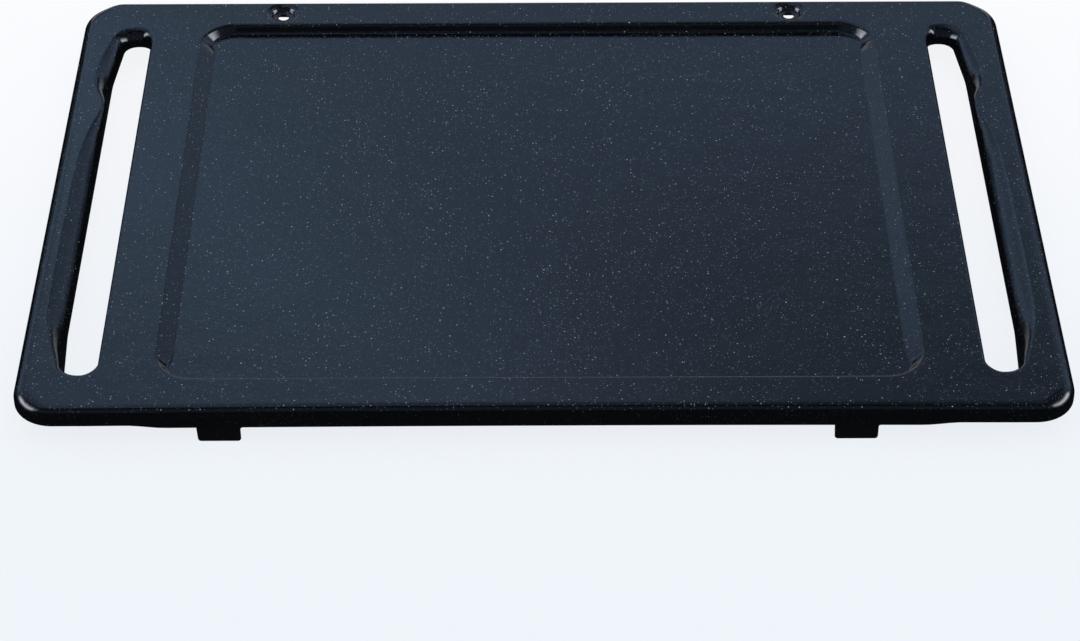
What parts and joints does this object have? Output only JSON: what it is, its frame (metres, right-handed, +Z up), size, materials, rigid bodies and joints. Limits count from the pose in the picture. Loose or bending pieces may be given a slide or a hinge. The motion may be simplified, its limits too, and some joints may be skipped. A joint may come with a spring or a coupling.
{
  "type": "electric griddle plate",
  "caption": "Enamelled sheet-steel griddle plate with a shallow tray, hand slots at both ends, dished screw seats at the rear and lugs at the front.",
  "frame": {"origin": "under the middle of the plate, level with the tips of the front lugs", "axes": "+X to the right along the long side, +Y to the rear edge with the screw seats, +Z up out of the cooking tray"},
  "size_m": [0.44, 0.3, 0.018],
  "materials": {
    "plate_enamel": "glossy black vitreous enamel with fine white speckle",
    "lug_enamel": "thinner black vitreous enamel, satin"
  },
  "bodies": {
    "root": {"griddle_plate": "plate_enamel", "front_lug_left": "lug_enamel", "front_lug_right": "lug_enamel"}
  },
  "joints": []
}
